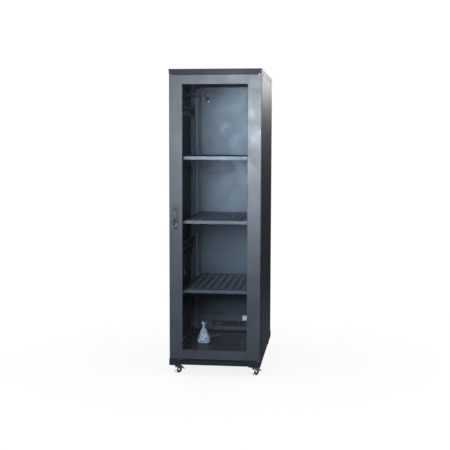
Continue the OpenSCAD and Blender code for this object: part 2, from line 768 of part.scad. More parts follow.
module fan_rotor() translate([0, 0, tray_z + sheet]) {
    translate([0, 0, 5]) cylinder(r = 20, h = 28);
    translate([0, 0, 1]) cylinder(r = 2, h = 5);
    for (a = [0 : 51.5 : 359]) rotate(a) translate([rotor_r / 2 + 9, 0, 19])
        rotate([38, 0, 0]) cube([rotor_r - 19, 30, 1.6], center = true);
}
module fan_rotor_left() color(rubber) translate([-fan_x, 0, 0]) fan_rotor();
module fan_rotor_right() color(rubber) translate([fan_x, 0, 0]) fan_rotor();

module fan_guards() color(chrome) for (s = [-1, 1]) translate([s * fan_x, 0, z_top - 4]) {
    for (r = [14 : 11 : 58]) rotate_extrude() translate([r, 0]) square(2);
    for (a = [45, 135]) rotate(a) translate([-63, -1, 0.2]) cube([126, 2, 1.8]);
}

// ---- Cords ----

function unit(v) = v / norm(v);
function tangent(p, i) = unit(p[min(i + 1, len(p) - 1)] - p[max(i - 1, 0)]);

// A round tube through the points of path; flat is a direction that path never runs along
module tube(path, r, sides, flat) {
    rings = [for (i = [0 : len(path) - 1]) let (t = tangent(path, i), a = unit(cross(flat, t)),
        b = cross(t, a)) for (k = [0 : sides - 1])
        path[i] + r * (cos(360 * k / sides) * a + sin(360 * k / sides) * b)];
    walls = [for (i = [0 : len(path) - 2], k = [0 : sides - 1]) let (a = i * sides + k,
        b = i * sides + (k + 1) % sides) each [[a, b, b + sides], [a, b + sides, a + sides]]];
    polyhedron(rings, concat([for (w = walls) [w[2], w[1], w[0]]],
        [[for (k = [0 : sides - 1]) k]], [[for (k = [sides - 1 : -1 : 0]) (len(path) - 1) * sides + k]]));
}

module mains_gland() color(rubber) translate(gland_pos) {
    translate([0, 0, -3]) cylinder(r = 9, h = 3);
    translate([0, 0, -gland_h]) cylinder(r = 7.5, h = gland_h - 3 + eps);
    translate([0, 0, -eps]) cylinder(r = 6, h = 8);
    for (i = [0 : 3]) translate([0, 0, -gland_h - (i + 1) * relief_h / 4])
        cylinder(r = 5.8 - i * 0.4, h = relief_h / 4 - (i < 3 ? 1.5 : 0) + eps);
    translate([0, 0, -gland_h - relief_h]) cylinder(r = 4.4, h = relief_h + eps);
}

module mains_cord() color(rubber) for (route = [drop_route, loop_route])
    tube([for (p = route) [p[0], hank_pos[1] + p[1], p[2]]], lead_d / 2, 10, [0, 1, 0]);

module mains_hank() color(rubber) translate(hank_pos) rotate([0, -hank_tilt, 0]) {
    upright(-hank_t / 2, hank_t) slot(hank_len, hank_w);
    // The tie also holds the loop's upper end, in front of the hank
    translate([tie_u, 0, 0]) upright(-tie_front, tie_front + hank_t / 2 + 1)
        square([tie_w, hank_w + 2], center = true);
}

module mains_plug() translate(plug_pos) rotate([0, plug_turn, 0]) {
    color(rubber) {
        cylinder(r = 6, h = 10);
        translate([0, 0, 10 - eps]) cylinder(r = 9, h = plug_len - 18);
        translate([0, 0, plug_len - 8 - eps]) cylinder(r = 17, h = 8);
    }
    color(chrome) for (s = [-1, 1]) translate([0, s * 9.5, plug_len - eps])
        cylinder(r = 2.4, h = prong_len);
}

module earth_stud() color("goldenrod") translate(earth_pos) {
    translate([0, 0, -sheet - 3.5]) cylinder(r = 5, h = 3.5);
    translate([0, 0, -sheet - 3.5]) cylinder(r = 3, h = sheet + 3.5 + 18);
    translate([0, 0, 4.2]) cylinder(r = 5.8, h = 5, $fn = 6);
}

module earth_lead() color("yellowgreen")
    tube([for (p = earth_route) [p[0], y0 + p[1], p[2]]], earth_d / 2, 8, [0, 0, 1]);

// Ring terminals at the two ends of the earth lead
module ring_terminal() {
    difference() {
        union() {
            cylinder(r = 6, h = 1);
            translate([-2.5, -11, 0]) cube([5, 8, 1]);
        }
        translate([0, 0, -1]) cylinder(r = 3.2, h = 3);
    }
    translate([0, -10, 2.6]) rotate([90, 0, 0]) difference() {
        cylinder(r = 2.6, h = 9);
        translate([0, 0, 1]) cylinder(r = earth_d / 2 + 0.1, h = 10);
    }
}

module earth_ring() color(zinc) {
    translate(earth_pos + [0, 0, 0.6]) ring_terminal();
    translate(ring_pos + [0, 0, 0.2]) rotate(-50) ring_terminal();
}

module hardware_bag() color([0.8, 0.85, 0.9, 0.5]) translate(bag_pos) translate([0, 0, 0.3])
    rotate_extrude() polygon([
        [0, 0], [40, 0], [49, 12], [50, 30], [44, 55], [32, 80], [18, 100], [8, 112], [7, 120],
        [14, 132], [22, 146], [16, 150], [0, 126]
    ]);

// ---- Casters ----

module at_caster(x, y) translate([x * caster_x, y * caster_y, 0]) rotate(caster_turn) children();

trail = 12;
axle_r = 4;
axle_z = wheel_d / 2;
leg_in = wheel_w / 2 + 1.5;
leg_t = 2.5;
pedal_pos = [30, 46];
crown_z = z_base - 11.5;

module caster_plates() color(paint_dark) for (x = [-1, 1], y = [-1, 1])
    translate([x * caster_x, y * caster_y, 0]) {
        difference() {
            translate([-30, -30, z_base - 2.5]) cube([60, 60, 2.5]);
            for (a = [-1, 1], b = [-1, 1]) translate([a * caster_bolt, b * caster_bolt, z_base - 4])
                cylinder(r = 4.2, h = 6);
        }
        translate([0, 0, z_base - 8.8]) cylinder(r = 17, h = 6.3 + eps);
        translate([0, 0, crown_z - 3]) cylinder(r = 4, h = 12);
        translate([0, 0, crown_z - 3]) cylinder(r = 6.5, h = 2.8);
    }

module caster_fork(x, y) color(zinc) at_caster(x, y) difference() {
    union() {
        translate([0, 0, crown_z]) cylinder(r = 18, h = 2.5);
        for (s = [-1, 1]) translate([0, s * (leg_in + leg_t / 2) + leg_t / 2, 0]) rotate([90, 0, 0])
            linear_extrude(leg_t) polygon([
                [-11, crown_z + 2.5], [14, crown_z + 2.5], [34, crown_z - 4], [35, crown_z - 11],
                [26, 30], [trail + 7, axle_z - 7], [trail - 7, axle_z - 7], [trail - 9, axle_z + 2]
            ]);
        translate([trail, -leg_in - leg_t - 2.5, axle_z]) rotate([-90, 0, 0])
            cylinder(r = axle_r, h = 2 * (leg_in + leg_t) + 5);
        for (s = [0, 1]) mirror([0, s, 0]) translate([trail, leg_in + leg_t - eps, axle_z])
            rotate([-90, 0, 0]) cylinder(r = 6.5, h = 3, $fn = 6);
    }
    translate([0, 0, crown_z - 1]) cylinder(r = 4 + fit, h = 5);
    translate([pedal_pos[0], -leg_in - leg_t - 3, pedal_pos[1]]) rotate([-90, 0, 0])
        cylinder(r = 2 + fit, h = 2 * leg_in + 2 * leg_t + 6);
}

module caster_wheel(x, y) color([0.7, 0.7, 0.7]) at_caster(x, y)
    translate([trail, 0, axle_z]) rotate([90, 0, 0]) rotate_extrude() polygon(concat(
        [[axle_r + fit, -leg_in + 0.3], [9, -leg_in + 0.3], [9, -7], [17, -6], [19, -wheel_w / 2]],
        [for (a = [-90 : 15 : 90]) [wheel_d / 2 - 4 + 4 * cos(a), (wheel_w / 2 - 4) * sign(a) + 4 * sin(a)]],
        [[19, wheel_w / 2], [17, 6], [9, 7], [9, leg_in - 0.3], [axle_r + fit, leg_in - 0.3]]
    ));

// Foot pedal that presses a shoe on the tread; it lifts to free the wheel
module brake_pedal(x, y) color(chrome) at_caster(x, y) translate([0, wheel_w / 2, 0])
    rotate([90, 0, 0]) {
        linear_extrude(wheel_w) polygon([
            [28, 49], [33, 49], [46, 37], [57, 26], [58, 22], [54, 23], [43, 33], [36, 38],
            [33, 40], [29, 45.5]
        ]);
        translate([pedal_pos[0], pedal_pos[1], -leg_t - 1.4]) cylinder(r = 2, h = wheel_w + 2 * leg_t + 2.8);
    }

module caster_fork_fl() caster_fork(-1, -1);
module caster_fork_fr() caster_fork(1, -1);
module caster_fork_rl() caster_fork(-1, 1);
module caster_fork_rr() caster_fork(1, 1);
module caster_wheel_fl() caster_wheel(-1, -1);
module caster_wheel_fr() caster_wheel(1, -1);
module caster_wheel_rl() caster_wheel(-1, 1);
module caster_wheel_rr() caster_wheel(1, 1);
module brake_pedal_fl() brake_pedal(-1, -1);
module brake_pedal_fr() brake_pedal(1, -1);

base_frame();
base_floor();
floor_grommets();
top_frame();
top_cover();
post_front_left();
post_front_right();
post_rear_left();
post_rear_right();
rail_front_left();
rail_front_right();
rail_rear_left();
rail_rear_right();
depth_beams();
side_panel_left();
side_panel_right();
side_latch_left();
side_latch_right();
shelf_lower();
shelf_middle();
shelf_upper();
frame_screws();
rear_door();
rear_lower_panel();
rear_lock_shell();
rear_lock_cam();
door_frame();
door_glass();
glass_gasket();
hinge_pins();
handle_body();
handle_lever();
lock_spindle();
lock_cam();
lock_shell();
key_plug();
fan_tray();
fan_frames();
fan_rotor_left();
fan_rotor_right();
fan_guards();
mains_gland();
mains_cord();
mains_hank();
mains_plug();
earth_stud();
earth_lead();
earth_ring();
hardware_bag();
caster_plates();
caster_fork_fl();
caster_fork_fr();
caster_fork_rl();
caster_fork_rr();
caster_wheel_fl();
caster_wheel_fr();
caster_wheel_rl();
caster_wheel_rr();
brake_pedal_fl();
brake_pedal_fr();
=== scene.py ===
"""The looks of the network cabinet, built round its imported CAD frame.

Units are metres, in the frame's own axes: +Z up, +X right, the front door faces -Y.
"""

import json
import math
import random

import bmesh
import bpy
from mathutils import Matrix, Vector, noise


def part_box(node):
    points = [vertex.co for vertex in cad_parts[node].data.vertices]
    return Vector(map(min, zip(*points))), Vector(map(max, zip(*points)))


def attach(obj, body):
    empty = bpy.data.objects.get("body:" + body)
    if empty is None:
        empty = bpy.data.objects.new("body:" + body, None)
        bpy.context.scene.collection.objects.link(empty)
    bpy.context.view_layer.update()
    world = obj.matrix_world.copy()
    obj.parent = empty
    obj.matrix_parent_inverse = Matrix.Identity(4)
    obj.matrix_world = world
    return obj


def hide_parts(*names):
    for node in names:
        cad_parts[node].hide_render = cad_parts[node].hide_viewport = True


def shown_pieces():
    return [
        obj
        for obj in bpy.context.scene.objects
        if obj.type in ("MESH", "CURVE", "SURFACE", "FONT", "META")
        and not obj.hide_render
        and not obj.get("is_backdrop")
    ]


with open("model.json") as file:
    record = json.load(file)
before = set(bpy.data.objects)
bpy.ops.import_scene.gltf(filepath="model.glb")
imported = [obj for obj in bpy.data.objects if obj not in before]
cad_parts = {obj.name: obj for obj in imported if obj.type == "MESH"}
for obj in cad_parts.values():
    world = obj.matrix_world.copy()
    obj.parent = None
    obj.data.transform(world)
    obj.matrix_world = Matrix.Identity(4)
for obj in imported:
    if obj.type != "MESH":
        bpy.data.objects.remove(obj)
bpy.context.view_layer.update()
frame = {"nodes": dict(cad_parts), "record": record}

MM = 0.001
scene = bpy.context.scene
nodes = frame["nodes"]


def middle(node):
    """The middle of a CAD node's box."""
    low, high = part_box(node)
    return (low + high) / 2


def link(obj):
    scene.collection.objects.link(obj)
    return obj


# ---- Camera ----

SENSOR = 36.0
LENS = 73.12
EYE = Vector((0.761, -6.332, 1.530))
YAW, PITCH, ROLL = 6.78, -5.19, 0.15


def make_camera():
    data = bpy.data.cameras.new("camera")
    data.sensor_width = SENSOR
    data.lens = LENS
    data.clip_start, data.clip_end = 0.05, 200
    camera = link(bpy.data.objects.new("camera", data))
    aim = Matrix.Translation(EYE)
    for degrees, axis in ((YAW, "Z"), (90 + PITCH, "X"), (ROLL, "Z")):
        aim = aim @ Matrix.Rotation(math.radians(degrees), 4, axis)
    camera.matrix_world = aim
    scene.camera = camera


make_camera()


# ---- Cords ----

LEAD_D = 0.006
# The mains lead's listed stretches, in millimetres as in the CAD source:
# x, depth from the hank's middle plane, z
DROP = [(-190, 0, 1906), (-190, 0, 1886), (-191, 4, 1876), (-196, 9, 1865), (-206, 10, 1856)]
LOOP = [
    (-150, -11, 1843), (-138, -13, 1841), (-128, -15, 1832), (-124, -16, 1818), (-124, -16, 1801),
    (-124, -16, 1784), (-131, -16, 1768), (-148, -16, 1760), (-165, -16, 1768), (-172, -17, 1784),
    (-172, -18, 1800), (-168, -18, 1822), (-160, -18, 1840), (-151, -19, 1850), (-139, -21, 1854),
    (-126, -22, 1852), (-117, -22, 1847), (-110, -22, 1839),
]
HANK_Y = middle("mains_gland").y
HANK_AT = Vector((-0.175, HANK_Y, 1.840))
HANK_TILT = math.radians(20)
HANK_TURNS = 3
HANK_RUN = 0.104
HANK_R = 0.020
HANK_PITCH = 0.0064
HANK_DEPTH = 0.0096
HANK_BACK = -0.0106
HANK_START = 0.048
HANK_TAIL = 0.014
POINTS_A_TURN = 26
# How far the tie pinches the hank, over what length, and where along it
WAIST = 0.012
WAIST_SPREAD = 0.026
TIE_U = 0.018
EARTH_D = 0.004
FRONT_Y = -0.5
# The earth lead on the floor: x, depth behind the front door's face, z
EARTH = [
    (-150, 797, 100.2), (-150, 788, 99.8), (-146, 775, 99.2), (-138, 768, 99.2), (-127, 766, 99.2),
    (-116, 770, 99.2), (-106, 779, 99.2), (-97, 790, 99.2), (-88, 800, 99.2), (-78, 809, 99.4),
    (-67, 817, 99.8),
]


def in_hank(u, v, w):
    """A point of the hank: u along it, v across it and w towards the rear."""
    c, s = math.cos(HANK_TILT), math.sin(HANK_TILT)
    return HANK_AT + Vector((u * c - v * s, w, u * s + v * c))


def hank_point(along, w):
    """The point that lies this far round one turn, starting at the middle of the upper run."""
    half, bend = HANK_RUN / 2, math.pi * HANK_R
    along %= 2 * HANK_RUN + 2 * bend
    if along < half:
        u, v = -along, HANK_R
    elif along < half + bend:
        a = (along - half) / HANK_R
        u, v = -half - HANK_R * math.sin(a), HANK_R * math.cos(a)
    elif along < half + bend + HANK_RUN:
        u, v = -half + along - half - bend, -HANK_R
    elif along < half + 2 * bend + HANK_RUN:
        a = (along - half - bend - HANK_RUN) / HANK_R
        u, v = half + HANK_R * math.sin(a), -HANK_R * math.cos(a)
    else:
        u, v = half - (along - half - 2 * bend - HANK_RUN), HANK_R
    pinch = WAIST * math.exp(-(((u - TIE_U) / WAIST_SPREAD) ** 2))
    return in_hank(u, v - math.copysign(pinch, v) * min(1, abs(v) / HANK_R), w)


def lead_points():
    """The whole mains lead: down from the gland, round the hank's turns and along to the plug."""
    points = [Vector((x * MM, HANK_Y + w * MM, z * MM)) for x, w, z in DROP]
    turn = 2 * HANK_RUN + 2 * math.pi * HANK_R
    end = HANK_TURNS * turn + HANK_RUN / 2 + math.pi * HANK_R + HANK_RUN / 2 + HANK_TAIL
    steps = int((end - HANK_START) / (turn / POINTS_A_TURN))
    for i in range(steps + 1):
        along = HANK_START + (end - HANK_START) * i / steps
        w = HANK_DEPTH - HANK_PITCH * along / turn
        points.append(hank_point(along, max(HANK_BACK, w)))
    points += [Vector((x * MM, HANK_Y + w * MM, z * MM)) for x, w, z in LOOP[1:]]
    return points


def cord_curve(name, points, diameter):
    """A smooth round cord through the points."""
    data = bpy.data.curves.new(name, "CURVE")
    data.dimensions = "3D"
    data.bevel_depth = diameter / 2
    data.bevel_resolution = 5
    data.resolution_u = 6
    data.use_fill_caps = True
    spline = data.splines.new("BEZIER")
    spline.bezier_points.add(len(points) - 1)
    for p, at in zip(spline.bezier_points, points):
        p.co = at
        p.handle_left_type = p.handle_right_type = "AUTO"
    return link(bpy.data.objects.new(name, data))


mains_lead = cord_curve("mains_lead", lead_points(), LEAD_D)
earth_points = [Vector((x * MM, FRONT_Y + y * MM, z * MM)) for x, y, z in EARTH]
earth_wire = cord_curve("earth_wire", earth_points, EARTH_D)


# ---- Materials ----

def set_range(node, start, end, low, high):
    """Sets a Map Range node."""
    for key, value in (("From Min", start), ("From Max", end), ("To Min", low), ("To Max", high)):
        node.inputs[key].default_value = value


class Surface:
    """A procedural material: a Principled shader and the nodes that feed it."""

    def __init__(self, name):
        self.material = bpy.data.materials.new(name)
        self.material.use_nodes = True
        self.tree = self.material.node_tree
        self.shader = next(n for n in self.tree.nodes if n.type == "BSDF_PRINCIPLED")
        self.output = next(n for n in self.tree.nodes if n.type == "OUTPUT_MATERIAL")
        self.place = self.add("ShaderNodeTexCoord").outputs["Object"]

    def add(self, kind, **values):
        node = self.tree.nodes.new(kind)
        for key, value in values.items():
            setattr(node, key, value)
        return node

    def join(self, a, b):
        self.tree.links.new(a, b)

    def set(self, **values):
        """Sets sockets of the shader; spaces in their names are written as underscores."""
        for key, value in values.items():
            self.shader.inputs[key.replace("_", " ")].default_value = value
        return self

    def noise(self, scale, detail=3.0, stretch=(1, 1, 1), rough=0.5):
        """A noise pattern of that many cells a metre."""
        mapping = self.add("ShaderNodeMapping")
        mapping.inputs["Scale"].default_value = stretch
        self.join(self.place, mapping.inputs["Vector"])
        texture = self.add("ShaderNodeTexNoise")
        texture.inputs["Scale"].default_value = scale
        texture.inputs["Detail"].default_value = detail
        texture.inputs["Roughness"].default_value = rough
        self.join(mapping.outputs["Vector"], texture.inputs["Vector"])
        return texture.outputs["Fac"]

    def span(self, source, low, high, start=0.3, end=0.7):
        """source from start to end, mapped to low to high."""
        node = self.add("ShaderNodeMapRange")
        set_range(node, start, end, low, high)
        self.join(source, node.inputs["Value"])
        return node.outputs["Result"]

    def math(self, operation, a, b):
        node = self.add("ShaderNodeMath", operation=operation)
        for socket, value in zip(node.inputs, (a, b)):
            if isinstance(value, (int, float)):
                socket.default_value = value
            else:
                self.join(value, socket)
        return node.outputs[0]

    def mix(self, share, a, b):
        """Colour a where share is 0 and b where it is 1; each a colour or a socket."""
        node = self.add("ShaderNodeMix", data_type="RGBA")
        for socket, value in zip((node.inputs[0], node.inputs[6], node.inputs[7]), (share, a, b)):
            if isinstance(value, tuple):
                socket.default_value = (*value, 1)
            else:
                self.join(value, socket)
        return node.outputs[2]

    def colour(self, source):
        self.join(source, self.shader.inputs["Base Color"])
        return self

    def rough(self, source):
        self.join(source, self.shader.inputs["Roughness"])
        return self

    def edges(self, radius):
        """1 on edges and corners and 0 on flat faces, broken up unevenly; it masks edge wear together
        with a painted edge highlight.
        """
        bevel = self.add("ShaderNodeBevel", samples=4)
        bevel.inputs["Radius"].default_value = radius
        geometry = self.add("ShaderNodeNewGeometry")
        dot = self.add("ShaderNodeVectorMath", operation="DOT_PRODUCT")
        self.join(bevel.outputs["Normal"], dot.inputs[0])
        self.join(geometry.outputs["Normal"], dot.inputs[1])
        edge = self.span(dot.outputs["Value"], 1, 0, 0.80, 0.985)
        return self.math("MULTIPLY", edge, self.span(self.noise(45, 4), 0.25, 1, 0.35, 0.6)), bevel

    def bump(self, heights, bevel=None):
        """heights is a list of (source, depth in metres)."""
        normal = None if bevel is None else bevel.outputs["Normal"]
        for source, depth in heights:
            node = self.add("ShaderNodeBump")
            node.inputs["Strength"].default_value = 1.0
            node.inputs["Distance"].default_value = depth
            self.join(source, node.inputs["Height"])
            if normal is not None:
                self.join(normal, node.inputs["Normal"])
            normal = node.outputs["Normal"]
        self.join(normal, self.shader.inputs["Normal"])
        return self


def powder_coat(name, dark, light, rough, grain, wear_and_highlight):
    """Semi-gloss powder coat: fine orange peel, soft mottling, and lighter edges, partly wear where
    the coat is thin and partly a painted highlight.
    """
    s = Surface(name)
    body = s.mix(s.span(s.noise(7, 5), 0, 1), dark, light)
    speck = s.mix(s.span(s.noise(900, 2), 0, 0.16, 0.55, 0.75), body, wear_and_highlight)
    edge, bevel = s.edges(0.0009)
    # Edges are pulled toward the last colour: partly thin, rubbed coat and partly a painted edge
    # highlight.
    s.colour(s.mix(s.math("MULTIPLY", edge, 0.55), speck, wear_and_highlight))
    smudge = s.span(s.noise(11, 6), rough - 0.05, rough + 0.06)
    s.rough(s.math("ADD", smudge, s.span(s.noise(700, 2), -0.02, 0.03)))
    return s.bump([(s.noise(620, 2), grain), (s.noise(24, 2), grain * 3)], bevel)


def bare_metal(name, dark, light, rough, stretch, grain):
    """Plated or polished metal with drawn marks along one axis and dull patches."""
    s = Surface(name).set(Metallic=1.0)
    s.colour(s.mix(s.span(s.noise(60, 4), 0, 1), dark, light))
    s.rough(s.math("ADD", s.span(s.noise(35, 5), rough - 0.06, rough + 0.08),
                   s.span(s.noise(500, 2, stretch), -0.05, 0.06)))
    return s.bump([(s.noise(500, 2, stretch), grain)])


def moulded(name, dark, light, rough, grain):
    """Moulded plastic or rubber with a fine spark-eroded grain."""
    s = Surface(name)
    s.colour(s.mix(s.span(s.noise(26, 4), 0, 1), dark, light))
    s.rough(s.span(s.noise(48, 4), rough - 0.06, rough + 0.07))
    return s.bump([(s.noise(1500, 2), grain), (s.noise(90, 2), grain * 1.5)])


def clear_glass(name):
    """Clear float glass: what is behind shows through a grey-blue tint, and a coat that mirrors
    more towards the edge of view."""
    s = Surface(name)
    s.set(Roughness=0.03, IOR=1.5)
    s.colour(s.mix(s.span(s.noise(5, 3), 0, 1), (0.05, 0.07, 0.085), (0.06, 0.08, 0.10)))
    clear = s.add("ShaderNodeBsdfTransparent")
    clear.inputs["Color"].default_value = (0.86, 0.90, 0.93, 1)
    mirror = s.add("ShaderNodeBsdfGlossy")
    mirror.inputs["Color"].default_value = (1, 1, 1, 1)
    s.join(s.span(s.noise(9, 4), 0.02, 0.05), mirror.inputs["Roughness"])
    fresnel = s.add("ShaderNodeFresnel")
    fresnel.inputs["IOR"].default_value = 1.5
    mixed = s.add("ShaderNodeMixShader")
    s.join(fresnel.outputs["Fac"], mixed.inputs["Fac"])
    s.join(clear.outputs["BSDF"], mixed.inputs[1])
    s.join(mirror.outputs["BSDF"], mixed.inputs[2])
    s.join(mixed.outputs["Shader"], s.output.inputs["Surface"])
    return s


def thin_film(name):
    """Thin clear polythene: mostly see-through, whiter and glossier along its creases."""
    s = Surface(name).set(Roughness=0.16, IOR=1.5)
    crease = s.span(s.noise(120, 5, rough=0.65), 0, 1, 0.42, 0.62)
    s.colour(s.mix(crease, (0.62, 0.66, 0.70), (0.95, 0.97, 1.0)))
    s.join(s.span(crease, 0.16, 0.62, 0, 1), s.shader.inputs["Alpha"])
    return s.bump([(s.noise(160, 4), 0.0009), (s.noise(600, 2), 0.0002)])


def tyre(name, centre, axis):
    """Grey tread and black side rings, told apart by the distance from the axle."""
    s = Surface(name)
    moved = s.add("ShaderNodeVectorMath", operation="SUBTRACT")
    s.join(s.place, moved.inputs[0])
    moved.inputs[1].default_value = centre
    cross = s.add("ShaderNodeVectorMath", operation="CROSS_PRODUCT")
    s.join(moved.outputs[0], cross.inputs[0])
    cross.inputs[1].default_value = axis
    length = s.add("ShaderNodeVectorMath", operation="LENGTH")
    s.join(cross.outputs[0], length.inputs[0])
    ring = s.span(length.outputs["Value"], 0, 1, 0.0205, 0.0209)
    dirt = s.span(s.noise(160, 5), 0, 1)
    black = s.mix(dirt, (0.018, 0.018, 0.02), (0.035, 0.035, 0.037))
    grey = s.mix(dirt, (0.42, 0.42, 0.41), (0.58, 0.58, 0.57))
    s.colour(s.mix(ring, black, grey))
    s.rough(s.span(s.noise(90, 3), 0.45, 0.62))
    return s.bump([(s.noise(900, 2), 0.00008), (s.noise(130, 3), 0.0002)])


def earth_insulation(name):
    """Yellow insulation with a green stripe along one side."""
    s = Surface(name)
    way = s.add("ShaderNodeNewGeometry").outputs["Normal"]
    dot = s.add("ShaderNodeVectorMath", operation="DOT_PRODUCT")
    s.join(way, dot.inputs[0])
    dot.inputs[1].default_value = (0.2, -0.5, 0.84)
    stripe = s.span(dot.outputs["Value"], 0, 1, 0.55, 0.62)
    mottle = s.span(s.noise(200, 3), 0, 1)
    yellow = s.mix(mottle, (0.60, 0.52, 0.03), (0.72, 0.63, 0.05))
    green = s.mix(mottle, (0.03, 0.20, 0.05), (0.05, 0.27, 0.07))
    s.colour(s.mix(stripe, yellow, green))
    s.rough(s.span(s.noise(120, 3), 0.32, 0.45))
    return s.bump([(s.noise(1500, 2), 0.00003)])


def label_paper(name):
    """Matt white paper with a fine tooth."""
    s = Surface(name)
    s.colour(s.mix(s.span(s.noise(300, 4), 0, 1), (0.82, 0.83, 0.84), (0.93, 0.94, 0.95)))
    s.rough(s.span(s.noise(200, 3), 0.5, 0.65))
    return s.bump([(s.noise(2500, 3), 0.00002), (s.noise(60, 2), 0.0003)])


# The last colour of each coat lightens specks and edges: wear, and on the edges also a painted
# highlight.
PAINT = powder_coat("cabinet_coat", (0.023, 0.030, 0.042), (0.030, 0.038, 0.052), 0.40, 0.00005,
                    (0.10, 0.11, 0.13))
RAIL_PAINT = powder_coat("rail_coat", (0.030, 0.036, 0.046), (0.045, 0.052, 0.064), 0.38, 0.00004,
                         (0.16, 0.17, 0.19))
SHELF_PAINT = powder_coat("shelf_coat", (0.020, 0.022, 0.027), (0.028, 0.031, 0.037), 0.42, 0.00005,
                          (0.14, 0.15, 0.17))
CASTER_PAINT = powder_coat("caster_coat", (0.012, 0.012, 0.014), (0.022, 0.022, 0.025), 0.45,
                           0.00004, (0.10, 0.10, 0.11))
ZINC = bare_metal("bright_zinc", (0.50, 0.51, 0.54), (0.70, 0.71, 0.74), 0.30, (1, 1, 6), 0.00003)
CHROME = bare_metal("polished_chrome", (0.70, 0.71, 0.73), (0.86, 0.87, 0.89), 0.12, (1, 1, 5),
                    0.00001)
BRASS = bare_metal("satin_brass", (0.52, 0.36, 0.12), (0.72, 0.53, 0.22), 0.30, (1, 1, 4), 0.00002)
RUBBER = moulded("black_rubber_skin", (0.010, 0.010, 0.011), (0.022, 0.022, 0.024), 0.62, 0.00004)
LEAD_SKIN = moulded("lead_skin", (0.009, 0.009, 0.010), (0.018, 0.018, 0.019), 0.42, 0.00002)
PLASTIC = moulded("black_moulding", (0.012, 0.012, 0.014), (0.024, 0.024, 0.027), 0.40, 0.00004)
EARTH_SKIN = earth_insulation("earth_skin")
GLASS = clear_glass("float_glass")
FILM = thin_film("clear_film")
PAPER = label_paper("blank_label")


def wear(obj, surface):
    obj.data.materials.clear()
    obj.data.materials.append(surface.material)
    return obj


BY_SLOT = {
    "cabinet_paint": PAINT, "rail_paint": RAIL_PAINT, "shelf_paint": SHELF_PAINT,
    "caster_black": CASTER_PAINT, "black_rubber": RUBBER, "black_plastic": PLASTIC,
    "zinc": ZINC, "chrome": CHROME, "brass": BRASS, "glass": GLASS,
    "earth_insulation": EARTH_SKIN, "clear_bag": FILM,
}
AXLE = (-math.sqrt(0.5), math.sqrt(0.5), 0)
for part in frame["record"]["subparts"]:
    name, slot = part["node"], part["material_slot"]
    if slot == "wheel_rubber":
        wear(nodes[name], tyre(f"tread_{name[-2:]}", tuple(middle(name)), AXLE))
    else:
        wear(nodes[name], BY_SLOT[slot])
wear(nodes["lock_spindle"], PLASTIC)


# ---- Mesh helpers ----

def mesh_object(name, bm, surface, body, smooth=True):
    """An object from a bmesh, wearing a surface and riding on a body."""
    data = bpy.data.meshes.new(name)
    bmesh.ops.recalc_face_normals(bm, faces=bm.faces)
    bm.to_mesh(data)
    bm.free()
    for face in data.polygons:
        face.use_smooth = smooth
    obj = wear(link(bpy.data.objects.new(name, data)), surface)
    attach(obj, body)
    return obj


def loft(bm, rings, caps=True, closed=False):
    """Skins a list of rings of points, each ring with the same number of points."""
    made = [[bm.verts.new(p) for p in ring] for ring in rings]
    count = len(made[0])
    pairs = list(zip(made, made[1:])) + ([(made[-1], made[0])] if closed else [])
    for low, high in pairs:
        for i in range(count):
            j = (i + 1) % count
            bm.faces.new((low[i], low[j], high[j], high[i]))
    if caps and not closed:
        bm.faces.new(made[0][::-1])
        bm.faces.new(made[-1])


def turned(bm, at, axis, profile, sides=32):
    """A turned shape about axis, from a list of (distance along, radius)."""
    turn = Vector(axis).normalized().to_track_quat("Z", "Y").to_matrix()
    rings = []
    for along, radius in profile:
        rings.append([
            Vector(at) + turn @ Vector((radius * math.cos(2 * math.pi * k / sides),
                                        radius * math.sin(2 * math.pi * k / sides), along))
            for k in range(sides)
        ])
    loft(bm, rings)


def rounded_section(half_w, half_h, r, steps=4):
    """Points round a rounded rectangle."""
    points = []
    for cx, cy, a0 in ((1, 1, 0), (-1, 1, 90), (-1, -1, 180), (1, -1, 270)):
        for i in range(steps + 1):
            a = math.radians(a0 + 90 * i / steps)
            points.append((cx * (half_w - r) + r * math.cos(a),
                           cy * (half_h - r) + r * math.sin(a)))
    return points


# ---- Plug, tie and lead ----

PLUG_AT = mains_lead.data.splines[0].bezier_points[-1].co.copy()
PLUG_TURN = math.radians(139)
PLUG_WAY = Vector((math.sin(PLUG_TURN), 0, math.cos(PLUG_TURN)))
PIN_PROFILE = [(0, 0.0024), (0.0165, 0.0024), (0.0183, 0.0020), (0.0191, 0.0010)]


def make_plug():
    """A moulded two-pin plug: ribbed boot, tapered body and round face, with two pins."""
    bm = bmesh.new()
    profile = [(-0.001, 0.0036), (0.0, 0.0046)]
    for i in range(4):
        z = 0.001 + i * 0.0024
        profile += [(z, 0.0049 + i * 0.0003), (z + 0.0012, 0.0052 + i * 0.0003),
                    (z + 0.0014, 0.0043 + i * 0.0003), (z + 0.0022, 0.0043 + i * 0.0003)]
    profile += [(0.011, 0.0068), (0.014, 0.0084), (0.020, 0.0090), (0.0255, 0.0092),
                (0.0275, 0.0120), (0.0290, 0.0160), (0.0302, 0.0169), (0.0345, 0.0169),
                (0.0357, 0.0163), (0.0360, 0.0150)]
    turned(bm, PLUG_AT, PLUG_WAY, profile, 40)
    body = mesh_object("plug_body", bm, PLASTIC, "cabinet")
    bm = bmesh.new()
    for side in (-1, 1):
        foot = PLUG_AT + PLUG_WAY * 0.0355 + Vector((0, side * 0.0095, 0))
        turned(bm, foot, PLUG_WAY, PIN_PROFILE, 20)
    pins = mesh_object("plug_pins", bm, CHROME, "cabinet")
    return body, pins


